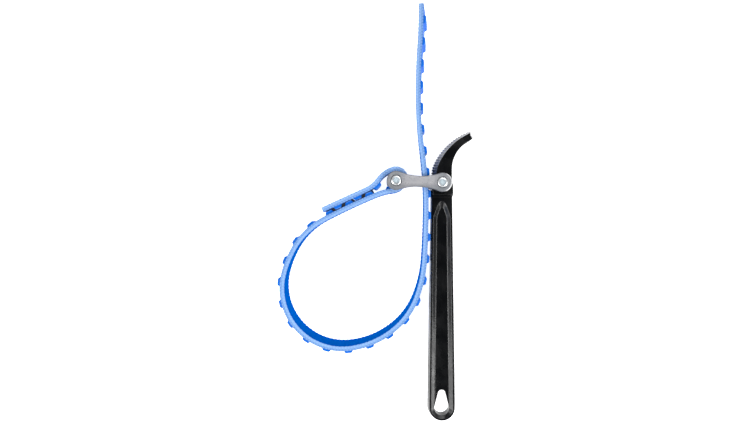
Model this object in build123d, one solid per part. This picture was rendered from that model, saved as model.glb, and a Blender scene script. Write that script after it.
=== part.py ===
from build123d import *
import math
import os

# Strap-type oil filter wrench.
# A toothed belt loops round the filter. One end of the belt is turned back round the left pin of
# a two-plate link and stitched to itself, the other end runs free through the gap in the link.
# A forged lever turns on the right pin, and its serrated horn jams the free end in the gap.
# Frame: the origin is the middle of the rear link plate's outer face, +Y runs up the free end of
# the belt, the lever's grip hangs along -Y, and +Z is the axis of both pins. Millimetres.

# ---- link ----
PIN_SPACING = 46.0
LINK_TILT = -2.2                # degrees, from the left pin down to the right pin
FRONT_EYE_RADIUS = 9.5
REAR_EYE_RADIUS = 8.7           # the rear plate is slimmer, out of sight behind the front one
FRONT_WAIST_WIDTH = 10.8
REAR_WAIST_WIDTH = 7.4
WAIST_FILLET = 5.0
PLATE_THICKNESS = 5.0
PLATE_GAP = 26.2
RIM_CHAMFER = 0.9

# ---- screws and barrels ----
SCREW_RADIUS = 3.0
SCREW_HEAD_RADIUS = 5.0
SCREW_HEAD_HEIGHT = 4.0
SCREW_HEAD_CHAMFER = 0.5
SCREW_LENGTH = 18.0             # of the shank below the head
BARREL_BORE_DEPTH = 20.0
HEX_ACROSS_FLATS = 5.0
HEX_DEPTH = 2.4
COUNTERBORE_RADIUS = 5.5
COUNTERBORE_DEPTH = 3.5
BARREL_RADIUS = 6.0
FLANGE_RADIUS = 7.4
FLANGE_THICKNESS = 1.6
ASSEMBLY_CLEARANCE = 0.05       # radial, between pieces that are bolted up together
RUNNING_CLEARANCE = 0.06        # radial, lever bore on its barrel
CUT_LENGTH = 60.0               # of cutters that go right through

# ---- lever ----
HEAD_THICKNESS = 25.4
GRIP_THICKNESS = 13.0
BOSS_RADIUS = 10.1
GRIP_OFFSET = 1.0               # grip centre line, to the right of the pivot
GRIP_TOP_HALF_WIDTH = 10.2
GRIP_END_RADIUS = 13.0
GRIP_END_CENTRE_Y = -229.0
SHOULDER_TOP_Y = -9.5           # the thick head slopes down to the thin grip between these
SHOULDER_BOTTOM_Y = -17.5
HORN_OUTER_CENTRE = (73.3, -9.4)
HORN_OUTER_RADIUS = 64.0
HORN_INNER_CENTRE = (64.9, 12.3)
HORN_INNER_RADIUS = 31.9
HORN_TIP_ANGLE = 109.0          # degrees round the outer centre
HORN_ROOT_ANGLE = 158.0
HORN_ROOT_BULGE = 0.15          # of the blend from the horn down to the boss
HORN_INNER_TIP_ANGLE = 114.5    # degrees round the inner centre
HORN_INNER_MID_ANGLE = 147.0
HORN_INNER_ROOT_ANGLE = 180.0
HORN_TIP_CORNER = (2.2, 1.6)    # from the inner arc's end to the corner of the horn's end face
TOOTH_PITCH = 3.0
TOOTH_DEPTH = 1.0
TOOTH_CREST_END = 0.35          # shares of the pitch
TOOTH_VALLEY = 0.7
PANEL_RIM = 1.9                 # width of the rim round the recessed panel
PANEL_SLOPE = 3.9               # width of the panel's sloping wall
PANEL_DEPTH = 2.8
PANEL_APEX_Y = -19.5
PANEL_SHOULDER_Y = -35.0
PANEL_LIP = (0.35, 0.25)        # the panel's cut starts this far outside its edge and above the face
ARCH_BULGE = 0.62               # middle of each side of the pointed arch, as shares of its span
ARCH_APEX_RATE = 1.6            # how far the apex drops for each millimetre of inset
HOLE_CENTRE_Y = -230.0          # of its large end
HOLE_LARGE_RADIUS = 7.4
HOLE_SMALL_RADIUS = 4.0
HOLE_LENGTH = 14.3              # between the centres of the hole's two ends

# ---- belt ----
BELT_WIDTH = 25.0
BELT_HALF_THICKNESS = 2.5
LINER_THICKNESS = 0.5
COVER_THICKNESS = 0.4
LUG_PITCH = 21.93
LUG_FIBRE = 1.5                 # the lugs are evenly spaced along the fibre at this offset
LUG_COUNT = 35
FIRST_LUG = 15.5                # from the free end
LAST_LUG = 15.6                 # from the stitched end
EYE_LUGS = 5                    # counted back from the stitched end, round the left pin
LUG_HEIGHT = 2.5
LUG_BASE = 8.8
LUG_CREST = 5.6
LUG_INSET = 1.0                 # the lugs stop short of the belt's edges
HINGE_GAP = 0.15                # each belt section stops this far from its hinge line
LUG_RUB_CLEARANCE = 0.2         # lugs inside the belt's eye are trimmed this far from the barrel

# Centre line of the belt from its free end, as runs of (length, turn in degrees, left positive).
BELT_START = (4.4, 178.6)
BELT_START_HEADING = -90.5
BELT_RUNS = [
    (44.0, -4.0),               # free end above the link
    (53.0, 5.0),
    (52.0, 6.5),
    (54.0, -7.0),               # through the link and down beside the lever
    (57.0, -4.0),
    (37.0, -17.0),
    (43.0, -32.5),              # lower right of the loop
    (45.0, -30.0),
    (118.5, -112.0),            # one true arc round the bottom and the left of the loop
    (23.5, -12.5),
    (45.0, -34.5),
    (58.0, -5.0),               # lower layer of the doubled end
    (18.5, -17.5),
    (19.5, 93.0),               # round the left pin
    (16.4, 98.5),
    (18.5, 39.0),
    (15.7, -31.0),
    (49.0, 0.0),                # upper layer of the doubled end
]

# Belt sections, each from one flex line to the next, as (name, first lug, last lug).
BELT_SECTIONS = [
    ("tail", 0, 11),
    ("right", 12, 13),
    ("bottom", 14, 17),
    ("left", 18, 22),
    ("eye", 23, LUG_COUNT - 1),
]

# ---- stitching of the doubled end ----
STITCH_COUNT = 5
STITCH_PITCH = 4.4
STITCH_SPAN = 2.6
THREAD = 0.8
THREAD_PROUD = 0.3
LAYER_SPACING = 8.5             # between the centre lines of the two layers
STITCH_LUG = 27                 # the stitches cross just past this lug of the lower layer
STITCH_OFFSET = 7.0
STITCH_SLANT = 2.1

MID_Z = PLATE_THICKNESS + PLATE_GAP / 2
FRONT_PLATE_Z = PLATE_THICKNESS + PLATE_GAP
tilt = math.radians(LINK_TILT)
RIGHT_PIN = (PIN_SPACING / 2 * math.cos(tilt), PIN_SPACING / 2 * math.sin(tilt))
LEFT_PIN = (-RIGHT_PIN[0], -RIGHT_PIN[1])
GRIP_X = RIGHT_PIN[0] + GRIP_OFFSET


def save(node, shape):
    """Write one sub-part as parts/NODE.step."""
    shape.label = node
    export_step(shape, f"parts/{node}.step")


def polar(centre, radius, degrees):
    """Point on a circle."""
    angle = math.radians(degrees)
    return (centre[0] + radius * math.cos(angle), centre[1] + radius * math.sin(angle))


def disc(centre, radius, z_low, z_high):
    """Cylinder along Z."""
    height = z_high - z_low
    return Pos(centre[0], centre[1], z_low + height / 2) * Cylinder(radius, height)


def prism(edges, z_low, z_high):
    """Closed outline of edges, raised from z_low to z_high."""
    face = make_face(edges)
    return Pos(0, 0, z_low) * extrude(face, z_high - z_low, dir=(0, 0, 1))


# ---------------------------------------------------------------- link plates
def plate_blank(eye_radius, waist_width):
    """Two eyes joined by a waist with rounded corners, its outer rim chamfered."""
    eyes = [Pos(*pin) * Circle(eye_radius) for pin in (LEFT_PIN, RIGHT_PIN)]
    waist = Rot(0, 0, LINK_TILT) * Rectangle(PIN_SPACING, waist_width)
    outline = eyes[0] + eyes[1] + waist
    corners = [v for v in outline.vertices() if abs(v.X) < PIN_SPACING / 2]
    outline = fillet(corners, WAIST_FILLET)
    blank = extrude(outline, PLATE_THICKNESS, dir=(0, 0, 1))
    rim = blank.faces().sort_by(Axis.Z)[-1].edges()
    return chamfer(rim, RIM_CHAMFER)


def front_plate():
    """Front plate with counterbored holes for the screw heads."""
    plate = Pos(0, 0, FRONT_PLATE_Z) * plate_blank(FRONT_EYE_RADIUS, FRONT_WAIST_WIDTH)
    top = FRONT_PLATE_Z + PLATE_THICKNESS
    for pin in (LEFT_PIN, RIGHT_PIN):
        plate -= disc(pin, SCREW_RADIUS + ASSEMBLY_CLEARANCE, FRONT_PLATE_Z - 1, top + 1)
        plate -= disc(pin, COUNTERBORE_RADIUS, top - COUNTERBORE_DEPTH, top + 1)
    return plate


def rear_plate():
    """Rear plate, its chamfered face down, with flush seats for the barrel flanges."""
    plate = Pos(0, 0, PLATE_THICKNESS) * mirror(plate_blank(REAR_EYE_RADIUS, REAR_WAIST_WIDTH), Plane.XY)
    for pin in (LEFT_PIN, RIGHT_PIN):
        plate -= disc(pin, BARREL_RADIUS + ASSEMBLY_CLEARANCE, -1, PLATE_THICKNESS + 1)
        plate -= disc(pin, FLANGE_RADIUS + ASSEMBLY_CLEARANCE, -1, FLANGE_THICKNESS)
    return plate


def barrel(pin):
    """Flanged barrel nut from the rear plate to the front plate, open at its threaded end."""
    body = disc(pin, BARREL_RADIUS, 0, FRONT_PLATE_Z)
    body += disc(pin, FLANGE_RADIUS, 0, FLANGE_THICKNESS)
    bore_floor = FRONT_PLATE_Z - BARREL_BORE_DEPTH
    return body - disc(pin, SCREW_RADIUS + ASSEMBLY_CLEARANCE, bore_floor, FRONT_PLATE_Z + 1)


def screw(pin):
    """Low-head socket screw, its head in the front plate's counterbore."""
    seat = FRONT_PLATE_Z + PLATE_THICKNESS - COUNTERBORE_DEPTH
    top = seat + SCREW_HEAD_HEIGHT
    head = disc(pin, SCREW_HEAD_RADIUS, seat, top)
    head = chamfer(head.edges().sort_by(Axis.Z)[-1], SCREW_HEAD_CHAMFER)
    shank = disc(pin, SCREW_RADIUS, seat - SCREW_LENGTH, seat)
    hexagon = RegularPolygon(HEX_ACROSS_FLATS / 2, 6, major_radius=False)
    socket = Pos(pin[0], pin[1], top - HEX_DEPTH) * extrude(hexagon, HEX_DEPTH + 1, dir=(0, 0, 1))
    return head + shank - socket


# ---------------------------------------------------------------- lever
def tooth_points():
    """Serrated edge from the horn's tip to its root, crests on the outer arc."""
    step = math.degrees(TOOTH_PITCH / HORN_OUTER_RADIUS)
    count = int((HORN_ROOT_ANGLE - HORN_TIP_ANGLE) / step)
    points = []
    for i in range(count):
        crest = HORN_TIP_ANGLE + i * step
        points.append(polar(HORN_OUTER_CENTRE, HORN_OUTER_RADIUS, crest))
        crest_end = crest + step * TOOTH_CREST_END
        valley = crest + step * TOOTH_VALLEY
        points.append(polar(HORN_OUTER_CENTRE, HORN_OUTER_RADIUS, crest_end))
        points.append(polar(HORN_OUTER_CENTRE, HORN_OUTER_RADIUS - TOOTH_DEPTH, valley))
    points.append(polar(HORN_OUTER_CENTRE, HORN_OUTER_RADIUS, HORN_ROOT_ANGLE))
    return points


def horn():
    """Curved horn above the boss, as thick as the head."""
    teeth = tooth_points()
    tip_inner = polar(HORN_INNER_CENTRE, HORN_INNER_RADIUS, HORN_INNER_TIP_ANGLE)
    inner_mid = polar(HORN_INNER_CENTRE, HORN_INNER_RADIUS, HORN_INNER_MID_ANGLE)
    inner_root = polar(HORN_INNER_CENTRE, HORN_INNER_RADIUS, HORN_INNER_ROOT_ANGLE)
    boss_right = (RIGHT_PIN[0] + BOSS_RADIUS, RIGHT_PIN[1])
    boss_left = (RIGHT_PIN[0] - BOSS_RADIUS, RIGHT_PIN[1])
    blend_mid = (boss_left[0] + HORN_ROOT_BULGE, (teeth[-1][1] + boss_left[1]) / 2)
    tip_corner = (tip_inner[0] + HORN_TIP_CORNER[0], tip_inner[1] + HORN_TIP_CORNER[1])
    edges = Polyline(*teeth) + ThreePointArc(teeth[-1], blend_mid, boss_left)
    edges += Line(boss_left, boss_right) + Line(boss_right, inner_root)
    edges += ThreePointArc(inner_root, inner_mid, tip_inner)
    edges += Polyline(tip_inner, tip_corner, teeth[0])
    return prism(edges, MID_Z - HEAD_THICKNESS / 2, MID_Z + HEAD_THICKNESS / 2)


def grip_outline(inset=0.0):
    """Corners of the tapered grip's outline and the low point of its round end, drawn in by inset."""
    top_half = GRIP_TOP_HALF_WIDTH - inset
    end_radius = GRIP_END_RADIUS - inset
    right_top = (GRIP_X + top_half, RIGHT_PIN[1])
    left_top = (GRIP_X - top_half, RIGHT_PIN[1])
    right_end = (GRIP_X + end_radius, GRIP_END_CENTRE_Y)
    left_end = (GRIP_X - end_radius, GRIP_END_CENTRE_Y)
    bottom = (GRIP_X, GRIP_END_CENTRE_Y - end_radius)
    return left_top, right_top, right_end, bottom, left_end


def grip_blank():
    """Solid grip, thick at the boss and thin from the shoulder down."""
    left_top, right_top, right_end, bottom, left_end = grip_outline()
    edges = Line(left_top, right_top) + Line(right_top, right_end)
    edges += ThreePointArc(right_end, bottom, left_end) + Line(left_end, left_top)
    grip = prism(edges, MID_Z - HEAD_THICKNESS / 2, MID_Z + HEAD_THICKNESS / 2)
    drop = (HEAD_THICKNESS - GRIP_THICKNESS) / 2
    low_y = GRIP_END_CENTRE_Y - GRIP_END_RADIUS - 1
    for side in (1, -1):
        face_z = MID_Z + side * HEAD_THICKNESS / 2
        grip_z = face_z - side * drop
        far_z = face_z + side
        wedge = Polyline(
            (SHOULDER_TOP_Y, face_z), (SHOULDER_BOTTOM_Y, grip_z), (low_y, grip_z),
            (low_y, far_z), (SHOULDER_TOP_Y, far_z), (SHOULDER_TOP_Y, face_z))
        cutter = extrude(Plane.YZ * make_face(wedge), CUT_LENGTH, dir=(1, 0, 0))
        grip -= cutter
    return grip


def panel_outline(inset, z):
    """Outline of the recessed panel at one level: a pointed arch above a tapered, round-ended field."""
    _, _, right_end, bottom, left_end = grip_outline(inset)
    taper = (GRIP_END_RADIUS - GRIP_TOP_HALF_WIDTH) / (RIGHT_PIN[1] - GRIP_END_CENTRE_Y)
    shoulder_half = GRIP_TOP_HALF_WIDTH - inset + taper * (RIGHT_PIN[1] - PANEL_SHOULDER_Y)
    apex_y = PANEL_APEX_Y - (inset - PANEL_RIM) * ARCH_APEX_RATE
    bulge = shoulder_half * ARCH_BULGE
    bulge_y = apex_y * ARCH_BULGE + PANEL_SHOULDER_Y * (1 - ARCH_BULGE)
    right_shoulder = (GRIP_X + shoulder_half, PANEL_SHOULDER_Y)
    left_shoulder = (GRIP_X - shoulder_half, PANEL_SHOULDER_Y)
    edges = ThreePointArc(left_shoulder, (GRIP_X - bulge, bulge_y), (GRIP_X, apex_y))
    edges += ThreePointArc((GRIP_X, apex_y), (GRIP_X + bulge, bulge_y), right_shoulder)
    edges += Line(right_shoulder, right_end)
    edges += ThreePointArc(right_end, bottom, left_end)
    edges += Line(left_end, left_shoulder)
    return Pos(0, 0, z) * make_face(edges)


def lever():
    """Forged lever: boss, serrated horn and recessed grip with a teardrop hanging hole."""
    half = HEAD_THICKNESS / 2
    body = disc(RIGHT_PIN, BOSS_RADIUS, MID_Z - half, MID_Z + half)
    body += horn()
    body += grip_blank()
    for side in (1, -1):
        surface = MID_Z + side * GRIP_THICKNESS / 2
        outer = panel_outline(PANEL_RIM - PANEL_LIP[0], surface + side * PANEL_LIP[1])
        floor = panel_outline(PANEL_RIM + PANEL_SLOPE, surface - side * PANEL_DEPTH)
        body -= loft([outer, floor], ruled=True)
    large = Pos(GRIP_X, HOLE_CENTRE_Y) * Circle(HOLE_LARGE_RADIUS)
    small = Pos(GRIP_X, HOLE_CENTRE_Y + HOLE_LENGTH) * Circle(HOLE_SMALL_RADIUS)
    teardrop = make_hull((large + small).edges())
    body -= extrude(teardrop, CUT_LENGTH, dir=(0, 0, 1))
    body -= disc(RIGHT_PIN, BARREL_RADIUS + RUNNING_CLEARANCE, 0, CUT_LENGTH)
    return body


# ---------------------------------------------------------------- belt
def belt_state(position):
    """Centre line point and heading (radians) at a distance along the belt."""
    x, y = BELT_START
    heading = math.radians(BELT_START_HEADING)
    left = position
    for length, turn in BELT_RUNS:
        step = min(left, length)
        angle = math.radians(turn) * step / length
        if abs(angle) < 1e-9:
            chord = step
        else:
            chord = 2 * step / angle * math.sin(angle / 2)
        x += chord * math.cos(heading + angle / 2)
        y += chord * math.sin(heading + angle / 2)
        heading += angle
        left -= step
        if left <= 0:
            break
    return x, y, heading


def belt_point(position, offset, along=0.0):
    """Point at a distance along the belt, offset to the lugged side (its left)."""
    x, y, heading = belt_state(position)
    px = x + along * math.cos(heading) - offset * math.sin(heading)
    py = y + along * math.sin(heading) + offset * math.cos(heading)
    return (px, py)


def fibre_length(position):
    """Length along the fibre that spaces the lugs, up to a position on the centre line."""
    turned = belt_state(position)[2] - math.radians(BELT_START_HEADING)
    return position - LUG_FIBRE * turned


BELT_LENGTH = sum(length for length, _ in BELT_RUNS)


def lug_position(index):
    """Centre line position of a lug, or of a place between two lugs for a fraction."""
    if index > LUG_COUNT - 1 - EYE_LUGS:
        return BELT_LENGTH - LAST_LUG - (LUG_COUNT - 1 - index) * LUG_PITCH
    wanted = FIRST_LUG + index * LUG_PITCH
    low, high = 0.0, BELT_LENGTH
    while high - low > 1e-6:
        middle = (low + high) / 2
        if fibre_length(middle) < wanted:
            low = middle
        else:
            high = middle
    return low


def belt_ply(start, end, low, high):
    """One ply of the belt between two positions and two offsets, in tangent arcs and lines."""
    breaks = [start]
    position = 0.0
    for length, _ in BELT_RUNS:
        position += length
        if start + 0.01 < position < end - 0.01:
            breaks.append(position)
    breaks.append(end)

    def side(offset, stops):
        chain = []
        for a, b in zip(stops, stops[1:]):
            first = belt_point(a, offset)
            middle = belt_point((a + b) / 2, offset)
            last = belt_point(b, offset)
            straight = abs(belt_state(a)[2] - belt_state(b)[2]) < 1e-6
            chain.append(Line(first, last) if straight else ThreePointArc(first, middle, last))
        return chain

    edges = side(low, breaks)
    edges.append(Line(belt_point(end, low), belt_point(end, high)))
    edges += side(high, breaks[::-1])
    edges.append(Line(belt_point(start, high), belt_point(start, low)))
    z_low = MID_Z - BELT_WIDTH / 2
    return prism(edges, z_low, z_low + BELT_WIDTH)


def lug(index):
    """Trapezoid lug, sunk a little into the cover ply."""
    position = lug_position(index)
    base_offset = BELT_HALF_THICKNESS - COVER_THICKNESS / 2
    crest_offset = BELT_HALF_THICKNESS + LUG_HEIGHT
    corners = [
        belt_point(position, base_offset, -LUG_BASE / 2),
        belt_point(position, crest_offset, -LUG_CREST / 2),
        belt_point(position, crest_offset, LUG_CREST / 2),
        belt_point(position, base_offset, LUG_BASE / 2),
    ]
    outline = Polyline(*corners, corners[0])
    z_low = MID_Z - BELT_WIDTH / 2 + LUG_INSET
    return prism(outline, z_low, z_low + BELT_WIDTH - 2 * LUG_INSET)


def section_span(index):
    """Centre line positions where a belt section starts and ends."""
    name, first, last = BELT_SECTIONS[index]
    start = 0.0 if index == 0 else lug_position(first - 0.5) + HINGE_GAP
    end = BELT_LENGTH if name == "eye" else lug_position(last + 0.5) - HINGE_GAP
    return start, end


def thread_bar(low, high, z_low, z_high):
    """Piece of the stitch line between two offsets; the line leans over between the layers."""
    start = lug_position(STITCH_LUG) + STITCH_OFFSET
    bends = [low]
    bends += [x for x in (BELT_HALF_THICKNESS, LAYER_SPACING - BELT_HALF_THICKNESS) if low < x < high]
    bends.append(high)

    def lean(offset):
        return -STITCH_SLANT if offset > LAYER_SPACING / 2 else 0.0

    corners = [belt_point(start, x, lean(x)) for x in bends]
    corners += [belt_point(start, x, lean(x) + THREAD) for x in reversed(bends)]
    return prism(Polyline(*corners, corners[0]), z_low, z_high)


def stitches():
    """Loops of thread in a row across the belt, each tying the two layers of the doubled end."""
    inner = -BELT_HALF_THICKNESS - THREAD_PROUD
    outer = LAYER_SPACING + BELT_HALF_THICKNESS + THREAD_PROUD
    first_z = MID_Z - (STITCH_PITCH * (STITCH_COUNT - 1) + STITCH_SPAN) / 2
    loops = []
    for i in range(STITCH_COUNT):
        z = first_z + i * STITCH_PITCH
        top_z = z + STITCH_SPAN
        loop = thread_bar(inner, outer, z, z + THREAD)
        loop += thread_bar(inner, outer, top_z - THREAD, top_z)
        loop += thread_bar(inner, inner + THREAD, z, top_z)
        loop += thread_bar(outer - THREAD, outer, z, top_z)
        loops.append(loop)
    return loops


def belt_section(index, thread):
    """Core, lugged cover and inner liner of one belt section."""
    start, end = section_span(index)
    name, first, last = BELT_SECTIONS[index]
    cover_low = BELT_HALF_THICKNESS - COVER_THICKNESS
    liner_high = LINER_THICKNESS - BELT_HALF_THICKNESS
    core = belt_ply(start, end, liner_high, cover_low)
    liner = belt_ply(start, end, -BELT_HALF_THICKNESS, liner_high)
    cover = belt_ply(start, end, cover_low, BELT_HALF_THICKNESS)
    for number in range(first, last + 1):
        cover += lug(number)
    if name == "eye":
        z_low = MID_Z - BELT_WIDTH / 2 - 1
        cover -= core
        cover -= disc(LEFT_PIN, BARREL_RADIUS + LUG_RUB_CLEARANCE, z_low, z_low + BELT_WIDTH + 2)
        core -= thread
        liner -= thread
        cover -= thread
    return {"core": core, "cover": cover, "liner": liner}


def main():
    os.makedirs("parts", exist_ok=True)
    save("link_plate_front", front_plate())
    save("link_plate_rear", rear_plate())
    for side, pin in (("pivot", RIGHT_PIN), ("eye", LEFT_PIN)):
        save(f"{side}_barrel", barrel(pin))
        save(f"{side}_screw", screw(pin))
    save("lever", lever())
    loops = stitches()
    save("end_stitching", Compound(children=loops))
    for index, section in enumerate(BELT_SECTIONS):
        for ply, shape in belt_section(index, loops).items():
            save(f"belt_{ply}_{section[0]}", shape)


main()
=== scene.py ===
import math
from collections import Counter

import bmesh
import bpy
import numpy as np
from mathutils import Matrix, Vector
from mathutils.geometry import delaunay_2d_cdt


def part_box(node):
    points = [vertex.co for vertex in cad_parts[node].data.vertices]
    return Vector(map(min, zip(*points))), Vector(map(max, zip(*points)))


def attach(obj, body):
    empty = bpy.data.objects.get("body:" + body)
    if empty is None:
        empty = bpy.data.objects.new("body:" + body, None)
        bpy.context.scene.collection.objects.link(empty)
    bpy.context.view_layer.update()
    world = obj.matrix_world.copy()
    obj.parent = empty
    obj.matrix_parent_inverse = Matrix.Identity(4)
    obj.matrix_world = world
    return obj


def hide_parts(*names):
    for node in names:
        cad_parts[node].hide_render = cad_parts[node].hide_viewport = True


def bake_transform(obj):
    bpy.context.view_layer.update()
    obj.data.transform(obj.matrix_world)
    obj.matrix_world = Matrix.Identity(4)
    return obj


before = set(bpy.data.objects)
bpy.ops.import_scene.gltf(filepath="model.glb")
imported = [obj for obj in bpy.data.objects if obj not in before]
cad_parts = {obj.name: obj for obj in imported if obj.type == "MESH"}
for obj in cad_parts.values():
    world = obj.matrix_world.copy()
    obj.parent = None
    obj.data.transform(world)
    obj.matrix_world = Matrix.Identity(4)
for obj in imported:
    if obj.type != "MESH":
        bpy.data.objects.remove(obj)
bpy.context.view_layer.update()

# Strap-type oil filter wrench: a toothed belt, a two-plate link and a forged black lever.
# Lengths below are millimetres in the CAD frame; MM turns them into metres.
MM = 0.001

# ---- the belt's centre line, from its free end, as in the CAD model ----
BELT_START = (4.4, 178.6)
BELT_START_HEADING = -90.5  # degrees
BELT_RUNS = [  # (length, turn in degrees, left positive)
    (44.0, -4.0), (53.0, 5.0), (52.0, 6.5), (54.0, -7.0), (57.0, -4.0), (37.0, -17.0),
    (43.0, -32.5), (45.0, -30.0), (118.5, -112.0), (23.5, -12.5), (45.0, -34.5), (58.0, -5.0),
    (18.5, -17.5), (19.5, 93.0), (16.4, 98.5), (18.5, 39.0), (15.7, -31.0), (49.0, 0.0),
]
BELT_LENGTH = sum(length for length, _ in BELT_RUNS)
ROUTE_STEP = 0.05
ROUTE_EASE = 2.0  # how far each change of curvature is spread out

# ---- the belt's section ----
BELT_HALF = 2.5
LINER = 0.5
COVER = 0.4
LUG_PITCH = 21.93
LUG_FIBRE = 1.5  # the lugs are evenly spaced this far to the lug side of the centre line
LUG_COUNT = 35
FIRST_LUG = 15.5  # from the free end
LAST_LUG = 15.6  # from the turned-back end
EYE_LUGS = 5  # lugs counted back from that end
LUG_HEIGHT = 2.5
TALL_LUG = 1.24  # lugs inside the turned-back end are this many times as high
LUG_SIDE = [(5.0, 0.0), (4.6, 0.02), (4.3, 0.12), (3.2, 0.86), (2.9, 0.97), (2.4, 1.0)]
LUG_END = [(0.8, 0.0), (1.0, 0.12), (1.35, 0.85), (1.6, 0.97), (2.0, 1.0)]
RIB_PITCH = 4.22  # shallow ribs across the belt's inner face
RIB_HEIGHT = 0.3
RIB_RELIEF = 0.05  # the liner stands this far proud between the ribs' grooves
YARN_PITCH = 3.0  # weft yarns that show in the cut edges
PLIES = 3
PLY_STEPS = 4
PLY_BULGE = 0.16
RIPPLE = 0.05
CORE_STEP = 0.75  # between sections of the core's mesh
COVER_STEP = 1.5
STATION_GAP = 0.35  # least distance between an even section and a lug's own
TWIST = [  # (distance, degrees) that the belt leans over near its free end
    (0.0, 10.0), (40.0, 8.5), (90.0, 6.8), (150.0, 5.0), (185.0, 4.0), (230.0, 3.4), (280.0, 2.0),
    (340.0, 0.6), (400.0, 0.0),
]
SWAY = [(120.0, 0.0), (180.0, 0.6), (260.0, 0.6), (340.0, 0.0)]  # (distance, shift to the lug side)
BLEND_REACH = 19.0  # bend_at works out points this far to each side of a flex line

# ---- places read from the frame ----


def centre_of(node):
    """Middle of a CAD node's box, in millimetres."""
    low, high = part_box(node)
    return np.array((low + high) / 2) / MM


def z_range(node):
    """Lowest and highest point of a CAD node, in millimetres."""
    low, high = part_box(node)
    return low.z / MM, high.z / MM


RIGHT_PIN = centre_of("pivot_screw")[:2]
LEFT_PIN = centre_of("eye_screw")[:2]
BELT_LOW, BELT_HIGH = z_range("belt_core_tail")
MID_Z = (BELT_LOW + BELT_HIGH) / 2
BELT_HALF_WIDTH = (BELT_HIGH - BELT_LOW) / 2


# ---- mesh making ----
SHARP = math.radians(38)


def finish_mesh(mesh, sharp=SHARP):
    """Outward normals, smooth faces, and sharp edges where the surface turns hard."""
    bm = bmesh.new()
    bm.from_mesh(mesh)
    bmesh.ops.recalc_face_normals(bm, faces=bm.faces)
    for face in bm.faces:
        face.smooth = True
    for edge in bm.edges:
        edge.smooth = edge.calc_face_angle(0.0) < sharp
    bm.to_mesh(mesh)
    bm.free()


def add_object(name, mesh, materials):
    """Links a mesh into the scene as one piece."""
    piece = bpy.data.objects.new(name, mesh)
    bpy.context.scene.collection.objects.link(piece)
    for material in materials:
        mesh.materials.append(material)
    return piece


def shell(name, rings, materials, attributes=None, closed=False):
    """Skin through loops of points (rings, points, 3) in millimetres, capped or closed to a ring."""
    rings = np.asarray(rings, float)
    count, points = rings.shape[:2]
    row = np.arange(count if closed else count - 1)[:, None] * points
    ahead = (row + points) % (count * points)
    column = np.arange(points)[None, :]
    beside = (column + 1) % points
    faces = np.stack([row + column, row + beside, ahead + beside, ahead + column], axis=-1)
    faces = faces.reshape(-1, 4).tolist()
    if not closed:
        faces += [list(range(points)), list(range((count - 1) * points, count * points))]
    mesh = bpy.data.meshes.new(name)
    mesh.from_pydata((rings.reshape(-1, 3) * MM).tolist(), [], faces)
    for key, values in (attributes or {}).items():
        store(mesh, key, values)
    finish_mesh(mesh)
    return add_object(name, mesh, materials)


def store(mesh, key, values):
    """Keeps a number or a vector for each vertex, for the materials."""
    values = np.asarray(values, np.float32)
    if values.shape[-1] == 3 and values.ndim > 1:
        layer = mesh.attributes.new(key, "FLOAT_VECTOR", "POINT")
        layer.data.foreach_set("vector", values.reshape(-1))
    else:
        layer = mesh.attributes.new(key, "FLOAT", "POINT")
        layer.data.foreach_set("value", values.reshape(-1))


def declare(piece, body, slot, *nodes):
    """Says which body a piece rides on and the CAD nodes that it stands for; its material slot is not used.
    """
    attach(piece, body)
    if nodes:
        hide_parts(*nodes)


def headings(path):
    """Unit vectors along a closed path."""
    ahead = np.roll(path, -1, axis=0) - np.roll(path, 1, axis=0)
    return ahead / np.linalg.norm(ahead, axis=1)[:, None]


def distances(path):
    """How far each point of a closed path is from its first point along it, and the whole length."""
    steps = np.linalg.norm(np.roll(path, -1, axis=0) - path, axis=1)
    return np.concatenate([[0], np.cumsum(steps)[:-1]]), steps.sum()


def smoothed(points, times):
    """Rounds the corners of a closed path of closely spaced points."""
    for _ in range(times):
        points = (np.roll(points, 1, axis=0) + 2 * points + np.roll(points, -1, axis=0)) / 4
    return points


# ---- materials ----
def add_node(tree, kind, inputs=None, **settings):
    """One node; inputs are values or sockets by name or number."""
    made = tree.nodes.new(kind)
    for key, value in settings.items():
        setattr(made, key, value)
    for key, value in (inputs or {}).items():
        if isinstance(value, bpy.types.NodeSocket):
            tree.links.new(value, made.inputs[key])
        else:
            made.inputs[key].default_value = value
    return made


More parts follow.
